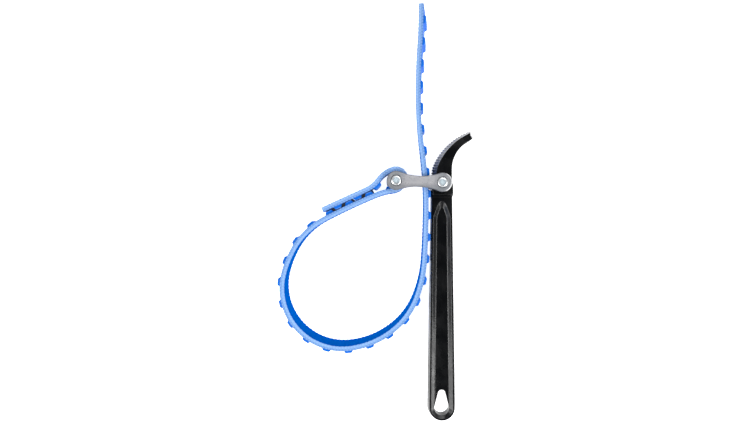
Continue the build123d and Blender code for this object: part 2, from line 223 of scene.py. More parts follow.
class Shader:
    """A material with its Principled shader and short calls for the nodes around it."""

    def __init__(self, name, **values):
        self.material = bpy.data.materials.new(name)
        self.material.use_nodes = True
        self.tree = self.material.node_tree
        self.main = self.tree.nodes["Principled BSDF"]
        for key, value in values.items():
            self.main.inputs[key.replace("_", " ")].default_value = value

    def node(self, kind, inputs=None, **settings):
        return add_node(self.tree, kind, inputs, **settings)

    def place(self):
        """Coordinates in metres that stay with the piece."""
        return self.node("ShaderNodeTexCoord").outputs["Object"]

    def attribute(self, name, output="Vector"):
        return self.node("ShaderNodeAttribute", attribute_name=name).outputs[output]

    def noise(self, vector, scale, detail=3.0, roughness=0.55, stretch=None):
        """Noise from 0 to 1."""
        if stretch:
            vector = self.node("ShaderNodeMapping", {"Vector": vector, "Scale": stretch}).outputs[0]
        return self.node("ShaderNodeTexNoise", {
            "Vector": vector, "Scale": scale, "Detail": detail, "Roughness": roughness}).outputs["Fac"]

    def math(self, operation, a, b=0.0, c=0.0, clamp=False):
        made = self.node("ShaderNodeMath", {0: a, 1: b, 2: c}, operation=operation, use_clamp=clamp)
        return made.outputs[0]

    def waves(self, value, pitch, phase=0.0):
        """Cosine wave of a value, from 0 to 1, with a crest every pitch."""
        turn = self.math("MULTIPLY_ADD", value, 2 * math.pi / pitch, phase)
        return self.math("MULTIPLY_ADD", self.math("COSINE", turn), 0.5, 0.5)

    def spread(self, value, low, high, out_low=0.0, out_high=1.0):
        """Maps low..high to out_low..out_high, clamped."""
        return self.node("ShaderNodeMapRange", {
            "Value": value, "From Min": low, "From Max": high,
            "To Min": out_low, "To Max": out_high}).outputs[0]

    def mix(self, factor, a, b):
        """Colour between a and b."""
        a, b = (value if isinstance(value, bpy.types.NodeSocket) else (*value, 1) for value in (a, b))
        return self.node("ShaderNodeMix", {0: factor, 6: a, 7: b}, data_type="RGBA").outputs[2]

    def colour(self, socket):
        self.tree.links.new(socket, self.main.inputs["Base Color"])

    def roughness(self, socket):
        self.tree.links.new(socket, self.main.inputs["Roughness"])

    def clouded(self, cloud, low, high, gloss):
        """Colour from low to high and roughness between the two gloss values, both after one noise."""
        self.colour(self.mix(cloud, low, high))
        self.roughness(self.spread(cloud, 0.3, 0.7, *gloss))

    def bump(self, *heights):
        """Surface relief from (height socket, depth in metres) pairs, each on top of the last."""
        normal = None
        for height, depth in heights:
            inputs = {"Height": height, "Distance": depth, "Strength": 1.0}
            if normal is not None:
                inputs["Normal"] = normal
            normal = self.node("ShaderNodeBump", inputs).outputs[0]
        self.tree.links.new(normal, self.main.inputs["Normal"])


def parts_of(shader, vector):
    """The three parts of a vector socket."""
    split = shader.node("ShaderNodeSeparateXYZ", {0: vector})
    return split.outputs[0], split.outputs[1], split.outputs[2]


def cut_edge(sh, place):
    """Colour of the belt's cut edge: pale blue yarns, darker bonding lines, weft ends in dots."""
    along, across, _ = parts_of(sh, place)
    bond = sh.spread(sh.math("ABSOLUTE", sh.math("SUBTRACT", across, 0.45)), 0.35, 0.0)
    border = sh.spread(sh.math("ABSOLUTE", across), 1.9, 2.45)
    lug_side = sh.spread(across, 0.2, 0.9)
    weft = sh.waves(sh.math("MULTIPLY_ADD", lug_side, YARN_PITCH / 2, along), YARN_PITCH)
    weft = sh.math("POWER", weft, 1.6)
    hatch = sh.waves(sh.math("MULTIPLY_ADD", across, -0.8, along), 0.95)
    fuzz = sh.noise(place, 1.7, 4.0, 0.7)
    patch = sh.noise(place, 0.09, 2.0)
    dark = sh.math("MULTIPLY_ADD", lug_side, 0.22, sh.math("MULTIPLY", bond, 0.42))
    dark = sh.math("MULTIPLY_ADD", sh.math("MULTIPLY_ADD", lug_side, 0.16, 0.18), weft, dark)
    dots = sh.math("MULTIPLY", border, sh.math("MULTIPLY_ADD", sh.waves(along, YARN_PITCH, 2.0), 0.5, 0.3))
    dark = sh.math("ADD", dots, dark)
    dark = sh.math("MULTIPLY_ADD", hatch, 0.10, dark)
    dark = sh.math("MULTIPLY_ADD", sh.spread(fuzz, 0.35, 0.7), 0.22, dark, clamp=True)
    base = sh.mix(patch, (0.30, 0.51, 0.90), (0.37, 0.57, 0.93))
    return sh.mix(dark, base, (0.075, 0.22, 0.58)), hatch, weft, fuzz


def belt_edge_material():
    """Woven core, seen at the belt's cut edges."""
    sh = Shader("woven_core_edge", Specular_IOR_Level=0.2)
    colour, hatch, weft, fuzz = cut_edge(sh, sh.attribute("belt"))
    sh.colour(colour)
    sh.roughness(sh.spread(fuzz, 0.3, 0.7, 0.72, 0.88))
    sh.bump((hatch, 0.00006), (weft, 0.00008), (fuzz, 0.0001))
    return sh.material


def rubber_material(name, deep, crest_tint, grain, gloss):
    """Moulded blue rubber, a little paler on the lugs' crests."""
    sh = Shader(name, Specular_IOR_Level=gloss)
    place = sh.attribute("belt")
    _, across, height = parts_of(sh, place)
    cloud = sh.noise(place, 0.16, 3.0)
    fine = sh.noise(place, grain, 3.0, 0.6)
    crest_pale = sh.spread(across, 4.6, 5.0)
    crest_pale = sh.math("MULTIPLY", crest_pale, sh.spread(cloud, 0.3, 0.7, 0.35, 1.0))
    tint = sh.mix(sh.spread(cloud, 0.3, 0.7), deep, tuple(1.12 * c for c in deep))
    side = sh.spread(sh.math("ABSOLUTE", height), BELT_HALF_WIDTH - 0.35, BELT_HALF_WIDTH - 0.15)
    cut, _, _, _ = cut_edge(sh, place)
    sh.colour(sh.mix(side, sh.mix(crest_pale, tint, crest_tint), cut))
    sh.roughness(sh.spread(fine, 0.3, 0.7, 0.42, 0.6))
    sh.bump((cloud, 0.00012), (fine, 0.00005))
    return sh.material


def plate_material():
    """Satin cast steel, tumbled: mottled grey, fine pits, darker round the eyes; painted shade at the rims,
    in the counterbores and along the lower edge, with a painted highlight on the right eye's outer rim.
    """
    sh = Shader("cast_link", Metallic=0.35)
    place = sh.place()
    mottle = sh.noise(place, 420.0, 4.0, 0.6)
    broad = sh.noise(place, 95.0, 2.0)
    grain = sh.noise(place, 2600.0, 3.0, 0.7)
    pits = sh.spread(sh.noise(place, 900.0, 2.0, 0.5), 0.64, 0.74)
    out, up, _ = parts_of(sh, place)
    eyes = sh.spread(sh.math("ABSOLUTE", out), 0.013, 0.021)
    cool = sh.mix(eyes, (0.42, 0.43, 0.46), (0.25, 0.27, 0.295))
    warm = sh.mix(eyes, (0.48, 0.475, 0.50), (0.32, 0.325, 0.35))
    light = sh.mix(sh.spread(broad, 0.35, 0.65), cool, warm)
    light = sh.mix(sh.spread(mottle, 0.35, 0.75, 0.0, 0.25), light, (0.70, 0.69, 0.70))
    # painted shade: the plate grows darker towards its lower edge
    light = sh.mix(sh.spread(up, -0.0045, -0.0015, 0.45, 0.0), light, (0.19, 0.21, 0.24))
    # painted shade on the rounded rims and counterbore walls, and a painted highlight where the right eye's
    # rim faces right
    painted_rim_shade_and_highlight = sh.mix(sh.spread(out, 0.0255, 0.0275), (0.15, 0.155, 0.17), (0.98, 0.98, 0.98))
    light = sh.mix(sh.attribute("rim", "Fac"), light, painted_rim_shade_and_highlight)
    sh.colour(sh.mix(pits, light, (0.16, 0.155, 0.16)))
    sh.roughness(sh.spread(mottle, 0.25, 0.75, 0.32, 0.52))
    sh.bump((mottle, 0.00012), (grain, 0.00004))
    return sh.material


def zinc_material():
    """Bright zinc plating on the screws, finely turned."""
    sh = Shader("zinc_screw", Metallic=0.7)
    place = sh.place()
    cloud = sh.noise(place, 700.0, 3.0)
    fine = sh.noise(place, 4200.0, 2.0)
    sh.clouded(cloud, (0.84, 0.89, 0.93), (0.97, 0.98, 1.0), (0.22, 0.4))
    sh.bump((fine, 0.00002))
    return sh.material


def shaded_socket_material():
    """The hexagon's walls and floor: the same zinc, dull, with painted shade that makes it darker and
    grey-blue inside.
    """
    sh = Shader("zinc_socket_painted_shade", Metallic=0.1)
    cloud = sh.noise(sh.place(), 900.0)
    # painted shade: the zinc inside the socket is coloured darker and grey-blue
    sh.clouded(cloud, (0.44, 0.53, 0.58), (0.60, 0.68, 0.73), (0.4, 0.6))
    sh.bump((cloud, 0.00005))
    return sh.material


def barrel_material():
    """Plain turned steel with a film of oil."""
    sh = Shader("turned_steel", Metallic=0.95)
    place = sh.place()
    _, _, height = parts_of(sh, place)
    turning = sh.waves(height, 0.00035)
    cloud = sh.noise(place, 300.0, 3.0)
    sh.clouded(cloud, (0.36, 0.36, 0.37), (0.52, 0.51, 0.50), (0.22, 0.4))
    sh.bump((turning, 0.00002), (cloud, 0.00003))
    return sh.material


def paint_material():
    """Glossy black enamel over a forging: orange peel, soft waviness, thin at the edges, and a painted
    highlight along the recessed panel's lip.
    """
    sh = Shader("black_forging")
    place = sh.place()
    wave = sh.noise(place, 55.0, 2.0, 0.5)
    peel = sh.noise(place, 620.0, 2.0, 0.5)
    dust = sh.noise(place, 2400.0, 3.0, 0.7)
    # paint worn thin at the outer edges; at the panel's lip the same lightening is a painted highlight
    edge_wear_and_lip_highlight = sh.math("MULTIPLY", sh.attribute("rim", "Fac"), sh.spread(peel, 0.48, 0.66))
    base = sh.mix(sh.spread(dust, 0.6, 0.8), (0.0012, 0.0016, 0.0022), (0.005, 0.0055, 0.006))
    # paler grey on the serrated wall and the horn's tip
    serration_mask = sh.attribute("teeth", "Fac")
    serration_grey = sh.mix(peel, (0.062, 0.064, 0.07), (0.14, 0.142, 0.15))
    sh.colour(sh.mix(serration_mask, sh.mix(edge_wear_and_lip_highlight, base, (0.05, 0.05, 0.055)), serration_grey))
    sh.roughness(sh.spread(wave, 0.3, 0.7, 0.2, 0.34))
    sh.bump((wave, 0.0002), (peel, 0.00006), (dust, 0.00001))
    return sh.material


def thread_material():
    """Pale blue bonded polyester thread."""
    sh = Shader("thread")
    fibre = sh.noise(sh.place(), 2600.0, 3.0, 0.7, stretch=(1, 1, 0.4))
    sh.clouded(fibre, (0.18, 0.33, 0.62), (0.36, 0.54, 0.82), (0.55, 0.75))
    sh.bump((fibre, 0.00006))
    return sh.material


def gap_shade_material():
    """Painted shade: lumpy black, for the sheet in the gap between the belt and its turned-back end."""
    sh = Shader("gap_shade_sheet")
    lumps = sh.noise(sh.place(), 700.0)
    sh.clouded(lumps, (0.002, 0.003, 0.004), (0.010, 0.012, 0.016), (0.5, 0.7))
    sh.bump((lumps, 0.0003))
    return sh.material


def floor_material():
    """Plain white studio paper."""
    sh = Shader("studio_paper", Roughness=0.9, Specular_IOR_Level=0.0,
                Emission_Color=(1, 1, 1, 1), Emission_Strength=0.85)
    tooth = sh.noise(sh.place(), 1800.0, 3.0)
    sh.colour(sh.mix(tooth, (0.92, 0.92, 0.92), (0.94, 0.94, 0.94)))
    return sh.material


# ---- the belt's line ----
def belt_line():
    """Even samples of the belt's centre line, its bends eased: distance, x, y, heading."""
    spread = 6 * ROUTE_EASE
    distance = np.arange(-spread, BELT_LENGTH + spread, ROUTE_STEP)
    middle = distance + ROUTE_STEP / 2
    bend = np.zeros_like(distance)
    start = 0.0
    for length, turn in BELT_RUNS:
        bend[(middle >= start) & (middle < start + length)] = math.radians(turn) / length
        start += length
    heading = math.radians(BELT_START_HEADING) + np.cumsum(bend) * ROUTE_STEP
    x = np.concatenate([[0], np.cumsum(np.cos(heading) * ROUTE_STEP)[:-1]])
    y = np.concatenate([[0], np.cumsum(np.sin(heading) * ROUTE_STEP)[:-1]])
    x += BELT_START[0] - np.interp(0, distance, x)
    y += BELT_START[1] - np.interp(0, distance, y)
    reach = int(4 * ROUTE_EASE / ROUTE_STEP)
    kernel = np.exp(-0.5 * (np.arange(-reach, reach + 1) * ROUTE_STEP / ROUTE_EASE) ** 2)
    kernel /= kernel.sum()
    inner = slice(reach, -reach)
    x = np.convolve(x, kernel, "same")[inner]
    y = np.convolve(y, kernel, "same")[inner]
    distance = distance[inner]
    heading = np.unwrap(np.arctan2(np.gradient(y), np.gradient(x)))
    return distance, x, y, heading


LINE = belt_line()


def belt_at(position):
    """Centre line x, y and heading at distances along the belt."""
    return tuple(np.interp(position, LINE[0], values) for values in LINE[1:])


def belt_points(position, offset, height):
    """Points of the belt from distance along it, offset to the lug side and height off its middle."""
    x, y, heading = belt_at(position)
    twist = np.radians(np.interp(position, *np.array(TWIST).T))
    side = offset * np.cos(twist) - height * np.sin(twist) + np.interp(position, *np.array(SWAY).T)
    z = MID_Z + height * np.cos(twist) + offset * np.sin(twist)
    return np.stack([x - side * np.sin(heading), y + side * np.cos(heading), z], axis=-1)


def lug_position(index):
    """Distance along the belt of a lug, or of a place between two lugs for a fraction."""
    if index > LUG_COUNT - 1 - EYE_LUGS:
        return BELT_LENGTH - LAST_LUG - (LUG_COUNT - 1 - index) * LUG_PITCH
    turned_by = LINE[3] - math.radians(BELT_START_HEADING)
    return float(np.interp(FIRST_LUG + index * LUG_PITCH, LINE[0] - LUG_FIBRE * turned_by, LINE[0]))


LUGS = np.array([lug_position(i) for i in range(LUG_COUNT)])
FLEX = {name: lug_position(index) for name, index in
        (("tail", 11.5), ("right", 13.5), ("bottom", 17.5), ("eye", 22.5))}
SPLIT_RIGHT = (FLEX["tail"] + FLEX["right"]) / 2
SPLIT_BOTTOM = (FLEX["right"] + FLEX["bottom"]) / 2
SPLIT_LEFT = (FLEX["bottom"] + FLEX["eye"]) / 2

# Lengths of belt, each across one flex line: name, start, end, the body beyond the line,
# the body before it, and the CAD sections that the length replaces.
BELT_LENGTHS = [
    ("tail", 0.0, SPLIT_RIGHT, "belt_right", "belt_tail", ("tail", "right")),
    ("right", SPLIT_RIGHT, SPLIT_BOTTOM, "belt_bottom", "belt_right", ("right", "bottom")),
    ("bottom", SPLIT_BOTTOM, SPLIT_LEFT, "belt_left", "belt_bottom", ("bottom", "left")),
    ("eye", SPLIT_LEFT, BELT_LENGTH, "belt_eye", "belt_left", ("left", "eye")),
]


def stations(start, end, step, extra=()):
    """Distances from start to end, even ones and the extra ones, none too close together."""
    even = np.linspace(start, end, max(2, int(round((end - start) / step)) + 1))
    fixed = np.array([x for x in extra if start + 0.05 < x < end - 0.05])
    if len(fixed):
        clear = np.abs(even[:, None] - fixed[None, :]).min(1) > STATION_GAP
        clear[0] = clear[-1] = True
        even = even[clear]
    return np.unique(np.concatenate([even, fixed]))


def tall_lugs(position):
    """Height of the lugs: those inside the turned-back end reach across to the other layer."""
    places, heights = zip((25, 1), (26, TALL_LUG), (28, TALL_LUG), (29, 1), (31, 1), (32, TALL_LUG))
    return LUG_HEIGHT * np.interp(position, LUGS[list(places)], heights)


def lug_rise(position, height):
    """How far the lugs stand out of the cover at points along and across the belt."""
    away = np.abs(position[:, None] - LUGS[None, :]).min(1)
    side_x, side_h = np.array(LUG_SIDE[::-1]).T
    rise_along = np.interp(away, side_x, side_h, left=1.0, right=0.0)
    end_x, end_h = np.array(LUG_END).T
    rise_across = np.interp(BELT_HALF_WIDTH - np.abs(height), end_x, end_h)
    return (tall_lugs(position) * rise_along)[:, None] * rise_across[None, :]


def clear_of_barrel(points):
    """Pushes points out of the barrel that the belt's eye turns on."""
    radius = BARREL + BARREL_GAP
    flat = points[..., :2] - LEFT_PIN
    distance = np.linalg.norm(flat, axis=-1)
    scale = np.where(distance < radius, radius / np.maximum(distance, 1e-6), 1.0)
    points[..., :2] = LEFT_PIN + flat * scale[..., None]


def belt_grid(position, offsets, heights):
    """Loops of points round the belt's section; its offsets and heights are one row or one for each loop."""
    shape = (len(position), np.shape(heights)[-1])
    along = np.repeat(position[:, None], shape[1], axis=1)
    offsets, heights = np.broadcast_to(offsets, shape), np.broadcast_to(heights, shape)
    return belt_points(along, offsets, heights), np.stack([along, offsets, heights], axis=-1)


def across_belt(insets):
    """Heights from one cut edge of the belt to the other, at insets from both edges and at the middle."""
    half = BELT_HALF_WIDTH - np.array(insets)
    return np.concatenate([half, [0.0], -half[::-1]])


def ply_grid(position, heights, front, back):
    """Loops of points of a ply with a shaped front and a flat back, from the offsets of both."""
    offsets = np.concatenate([front, np.full((len(position), 3), back)], axis=1)
    heights = np.concatenate([heights, [-BELT_HALF_WIDTH, 0.0, BELT_HALF_WIDTH]])
    return belt_grid(position, offsets, heights)


def core_piece(name, start, end, material):
    """Woven core: its cut edges bulge a little at every ply and ripple with the weft."""
    position = stations(start, end, CORE_STEP)
    low, high = LINER - BELT_HALF, BELT_HALF - COVER
    depth = np.linspace(low, high, PLIES * PLY_STEPS + 1)
    bulge = PLY_BULGE * np.abs(np.sin(math.pi * (depth - low) / (high - low) * PLIES)) ** 0.6
    top = BELT_HALF_WIDTH - PLY_BULGE + bulge
    heights = np.concatenate([top, -top[::-1]])
    offsets = np.concatenate([depth, depth[::-1]])
    points, place = belt_grid(position, offsets, heights)
    ripple = RIPPLE * np.cos(2 * math.pi * place[..., 0] / YARN_PITCH + 2.1 * place[..., 1])
    ripple *= np.concatenate([bulge, bulge[::-1]]) / PLY_BULGE
    points[..., 2] += ripple * np.sign(place[..., 2]) - RIPPLE
    return shell(name, points, [material], {"belt": place})


def cover_piece(name, start, end, material):
    """Rubber cover with its moulded lugs."""
    marks = [lug + side * x for lug in LUGS for x, _ in LUG_SIDE for side in (-1, 1)]
    position = stations(start, end, COVER_STEP, marks)
    corner = [(0.0, -0.22), (0.12, -0.07), (0.35, 0.0)]
    face = across_belt([x for x, _ in corner + LUG_END] + [4.0, 7.0, 10.0])
    drop = np.interp(BELT_HALF_WIDTH - np.abs(face), *np.array(corner).T)
    front = BELT_HALF + drop + lug_rise(position, face)
    points, place = ply_grid(position, face, front, BELT_HALF - COVER)
    clear_of_barrel(points[:, :len(face)])
    return shell(name, points, [material], {"belt": place})


def liner_piece(name, start, end, material):
    """Thin inner lining with shallow ribs across the belt."""
    position = stations(start, end, RIB_PITCH / 6)
    insets = [0.0, 0.15, 0.4, 3.0, 7.0]
    face = across_belt(insets)
    corner = np.interp(BELT_HALF_WIDTH - np.abs(face), insets[:3], [0.2, 0.06, 0.0])
    rib = RIB_HEIGHT * (0.5 - 0.5 * np.cos(2 * math.pi * position / RIB_PITCH)) ** 2
    front = -BELT_HALF - RIB_RELIEF + corner[None, :] + rib[:, None]
    points, place = ply_grid(position, face, front, LINER - BELT_HALF)
    return shell(name, points, [material], {"belt": place})


def bend_at(piece, name, beyond, before):
    """Bakes a length of belt's placing into its mesh; the points a reach to each side of its flex line are
    worked out but not used.
    """
    far, near = ((x * MM, y * MM, MID_Z * MM) for x, y, _ in
                 (belt_at(FLEX[name] + step) for step in (BLEND_REACH, -BLEND_REACH)))
    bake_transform(piece)
    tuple(far)
    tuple(near)


def make_belt():
    """The belt in four lengths, each of a core, a cover and a liner."""
    edge = belt_edge_material()
    cover = rubber_material("lug_rubber", (0.0, 0.135, 0.64), (0.13, 0.32, 0.80), 2.5, 0.15)
    liner = rubber_material("liner_rubber", (0.0, 0.095, 0.43), (0.0, 0.095, 0.43), 1.6, 0.0)
    plies = (("core", core_piece, edge, "belt_fabric"),
             ("cover", cover_piece, cover, "belt_rubber"),
             ("liner", liner_piece, liner, "belt_rubber"))
    for name, start, end, beyond, before, sections in BELT_LENGTHS:
        for ply, make, material, slot in plies:
            piece = make(f"{ply}_{name}", start, end, material)
            bend_at(piece, name, beyond, before)
            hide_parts(*[f"belt_{ply}_{section}" for section in sections])


# ---- stitching ----
STITCH_COUNT = 5
STITCH_PITCH = 5.1
STITCH_SPAN = 2.2
STITCH_LUG = 27
STITCH_OFFSET = 7.4  # from that lug on to the stitches
STITCH_SLANT = 2.1
LAYER_SPACING = 8.5  # between the centre lines of the two layers
THREAD_RADIUS = 0.42
THREAD_STEP = 0.12
THREAD_SIDES = 10
STRANDS = 2
STRAND_SWELL = 0.16  # share of the radius
STRAND_LAY = 1.5  # length of thread for one turn of its strands
# black sheet of painted shade in the gap between the belt and its turned-back end
GAP_SHADE_LENGTH = 52.0
GAP_SHADE_LUGS = (22, 30)  # the turned-back end lies against the belt somewhere between these lugs
GAP_SHADE_START = 2.0  # from that place
GAP_SHADE_STEP = 0.8
GAP_SHADE_SINK = 1.25  # below the belt's cut edges


def tube(name, path, radius, material):
    """Closed loop of twisted thread along a closed path."""
    ahead = headings(path)
    normal = np.cross(path[1] - path[0], path[len(path) // 2] - path.mean(0))
    normal /= np.linalg.norm(normal)
    side = np.cross(ahead, normal)
    side /= np.linalg.norm(side, axis=1)[:, None]
    up = np.cross(side, ahead)
    travel, total = distances(path)
    travel = travel / total * round(total / STRAND_LAY) * 2 * math.pi
    angle = np.linspace(0, 2 * math.pi, THREAD_SIDES, endpoint=False)
    swell = 1 + STRAND_SWELL * np.cos(STRANDS * angle[None, :] - travel[:, None] * STRANDS / 2)
    around = side[:, None, :] * np.cos(angle)[None, :, None] + up[:, None, :] * np.sin(angle)[None, :, None]
    rings = path[:, None, :] + around * (radius * swell)[..., None]
    return shell(name, rings, [material], closed=True)


def rounded_loop(corners):
    """Closed path through corners, its bends eased."""
    points = []
    for a, b in zip(corners, np.roll(corners, -1, axis=0)):
        count = max(2, int(np.linalg.norm(b - a) / THREAD_STEP))
        points += [a + (b - a) * i / count for i in range(count)]
    return smoothed(np.array(points), 4)


def make_gap_shade():
    """Painted shade: a black sheet in the gap between the belt and its turned-back end."""
    x, y, _ = belt_at(BELT_LENGTH)
    search = np.arange(*(lug_position(lug) for lug in GAP_SHADE_LUGS), 0.25)
    there_x, there_y, _ = belt_at(search)
    start = search[np.argmin(np.hypot(there_x - x, there_y - y))] + GAP_SHADE_START
    position = stations(start, start + GAP_SHADE_LENGTH, GAP_SHADE_STEP)
    end = np.minimum(position - start, start + GAP_SHADE_LENGTH - position)
    sink = 0.5 + 2.0 * np.exp(-end / 0.8) + 0.3 * np.sin(position * 1.7) + 0.2 * np.sin(position * 4.1)
    depth = np.array([0.0, 0.25, 0.7, 1.2, 1.7, 2.2, 2.7, 3.15, 3.4])
    dip = np.interp(depth, [0, 0.3, 1.7, 3.1, 3.4], [0, 0.35, 0.6, 0.35, 0])
    level = BELT_HALF_WIDTH - GAP_SHADE_SINK - sink[:, None] - dip[None, :]
    offsets = np.concatenate([BELT_HALF + depth, BELT_HALF + depth[::-1]])
    heights = np.concatenate([level, -level[:, ::-1]], axis=1)
    points, _ = belt_grid(position, offsets, heights)
    declare(shell("gap_shade_sheet", points, [gap_shade_material()]), "belt_eye", "belt_rubber")


def make_stitches():
    """Five loops of thread through both layers of the turned-back end."""
    material = thread_material()
    start = lug_position(STITCH_LUG) + STITCH_OFFSET
    inner, outer = -BELT_HALF - 0.1, LAYER_SPACING + BELT_HALF + 0.1
    gap = [inner, BELT_HALF - 0.2, LAYER_SPACING - BELT_HALF + 0.2, outer]
    lean = [0.0, 0.0, -STITCH_SLANT, -STITCH_SLANT]
    first = -STITCH_PITCH * (STITCH_COUNT - 1) / 2
    x, y, heading = belt_at(start)
    along = np.array([math.cos(heading), math.sin(heading), 0])
    across = np.array([-math.sin(heading), math.cos(heading), 0])
    origin = np.array([x, y, MID_Z])
    for i in range(STITCH_COUNT):
        height = first + i * STITCH_PITCH
        low, high = ([origin + across * o + along * s + [0, 0, height + end] for o, s in zip(gap, lean)]
                     for end in (-STITCH_SPAN / 2, STITCH_SPAN / 2))
        piece = tube(f"stitch_{i + 1}", rounded_loop(np.array(low + high[::-1])), THREAD_RADIUS, material)
        declare(piece, "belt_eye", "thread", "end_stitching")


# ---- link plates ----
FRONT_PLATE = (9.5, 5.4, 1.1)  # radius of the eyes, half width of the waist, radius of the rounded rim
REAR_PLATE = (8.7, 3.7, 0.5)  # slimmer, out of sight behind the front plate
COUNTERBORE = 5.5
SEAT_DEPTH = 3.5  # of the screw heads' counterbores
BARREL = 6.0
BARREL_GAP = 0.25  # between the barrel and the belt's lugs
BORE = 3.05
FLANGE = 7.4
FLANGE_THICK = 1.6
SCREW_HEAD = 5.0
HEX_FLATS = 5.0
FINE_SHARP = math.radians(30)


def polar(centre, radius, angle):
    """Points at a radius and angle from a centre."""
    return np.stack([centre[0] + radius * np.cos(angle), centre[1] + radius * np.sin(angle)], axis=-1)


def arc(centre, radius, start, end, count):
    """Points on a circle between two angles in degrees, the last one left out."""
    return polar(centre, radius, np.radians(np.linspace(start, end, count, endpoint=False)))


def link_outline(eye, waist):
    """Outline of a two-eyed link in its own axes, from its eyes' radius and its waist's half width."""
    half = np.linalg.norm(RIGHT_PIN - LEFT_PIN) / 2
    radius = (half ** 2 + waist ** 2 - eye ** 2) / (2 * (eye - waist))
    turn = math.degrees(math.atan2(waist + radius, half))
    return np.concatenate([
        arc((half, 0), eye, -180 + turn, 180 - turn, 90),
        arc((0, waist + radius), radius, -turn, -180 + turn, 50),
        arc((-half, 0), eye, turn, 360 - turn, 90),
        arc((0, -waist - radius), radius, 180 - turn, turn, 50)])


def outline_normals(points):
    """Unit normals pointing into a counter-clockwise closed outline."""
    ahead = headings(points)
    return np.stack([-ahead[:, 1], ahead[:, 0]], axis=-1)


def inside(points, loop):
    """Which points lie inside a closed loop."""
    x, y = points.T[:, :, None]
    x0, y0 = loop.T[:, None, :]
    x1, y1 = np.roll(loop, -1, axis=0).T[:, None, :]
    cross = (y0 > y) != (y1 > y)
    with np.errstate(divide="ignore", invalid="ignore"):
        at = (x1 - x0) * (y - y0) / (y1 - y0) + x0
    return (cross & (x < at)).sum(1) % 2 == 1


THIN = 0.002  # twice the area of a sliver, in square millimetres


class Solid:
    """A closed piece gathered from loops, strips and filled faces, in millimetres."""

    def __init__(self):
        self.points = []
        self.faces = []
        self.slots = []
        self.rim = []
        self.teeth = []

    def loop(self, flat, z, rim=0.0, teeth=0.0):
        """Adds a loop of points at height z (one value or one for each point)."""
        count, first = len(flat), len(self.points)
        self.points += np.column_stack([flat, np.broadcast_to(z, count)]).tolist()
        self.rim += np.broadcast_to(rim, count).tolist()
        self.teeth += np.broadcast_to(teeth, count).tolist()
        return list(range(first, first + count))

    def strips(self, loops, slot=0):
        """Quads from each loop to the next, all of equal length."""
        for a, b in zip(loops, loops[1:]):
            for i in range(len(a)):
                j = (i + 1) % len(a)
                self.faces.append([a[i], a[j], b[j], b[i]])
                self.slots.append(slot)

    def fill(self, outer, holes=(), inner=(), height=None):
        """Triangles from a loop in to its holes, through inner points whose height is given."""
        loops = [outer, *holes]
        index, edges = [], []
        for loop in loops:
            first, count = len(index), len(loop)
            edges += [(first + i, first + (i + 1) % count) for i in range(count)]
            index += loop
        if len(inner):
            index += self.loop(inner, height(inner))
        flat = [Vector(self.points[i][:2]) for i in index]
        corners, _, triangles, sources, _, _ = delaunay_2d_cdt(flat, edges, [], 0, 1e-6)
        corners, triangles = np.array([[v.x, v.y] for v in corners]), np.array(triangles)
        centre = corners[triangles].mean(1)
        keep, *cut = (inside(centre, np.array([self.points[i][:2] for i in loop])) for loop in loops)
        for hole in cut:
            keep &= ~hole
        reach = corners[triangles] - corners[triangles[:, :1]]
        thin = np.abs(reach[:, 1, 0] * reach[:, 2, 1] - reach[:, 1, 1] * reach[:, 2, 0]) < THIN
        kept = [[sources[i][0] for i in triangle] for triangle in triangles[keep]]
        sides = [[frozenset((t[k], t[k - 1])) for k in range(3)] for t in kept]
        count = Counter(side for three in sides for side in three)
        border = {frozenset(pair) for pair in edges}
        for triangle, three, is_thin in zip(kept, sides, thin[keep]):
            if is_thin and any(count[side] == 1 and side not in border for side in three):
                continue  # sliver just outside a straight side
            self.faces.append([index[i] for i in triangle])
            self.slots.append(0)

    def cap(self, loop, slot=0):
        """One face across a loop."""
        self.faces.append(loop)
        self.slots.append(slot)

    def make(self, name, materials, sharp=SHARP):
        mesh = bpy.data.meshes.new(name)
        mesh.from_pydata((np.array(self.points) * MM).tolist(), [], self.faces)
        mesh.polygons.foreach_set("material_index", self.slots)
        store(mesh, "rim", self.rim)
        store(mesh, "teeth", self.teeth)
        finish_mesh(mesh, sharp)
        return add_object(name, mesh, materials)


def stack(name, loops, materials=(), sharp=SHARP):
    """A closed body through loops (flat points, heights), capped at both ends."""
    solid = Solid()
    rings = [solid.loop(flat, z) for flat, z in loops]
    solid.strips(rings)
    solid.cap(rings[0])
    solid.cap(rings[-1])
    return solid.make(name, materials, sharp)


def rounded(radius, steps=5):
    """(inset, drop) pairs of a rounded edge, from the wall in to the face."""
    angle = np.linspace(0, math.pi / 2, steps)
    return [(radius * (1 - math.cos(a)), radius * (1 - math.sin(a))) for a in angle]


def circle(centre, radius, count=72):
    return arc(centre, radius, 0, 360, count)


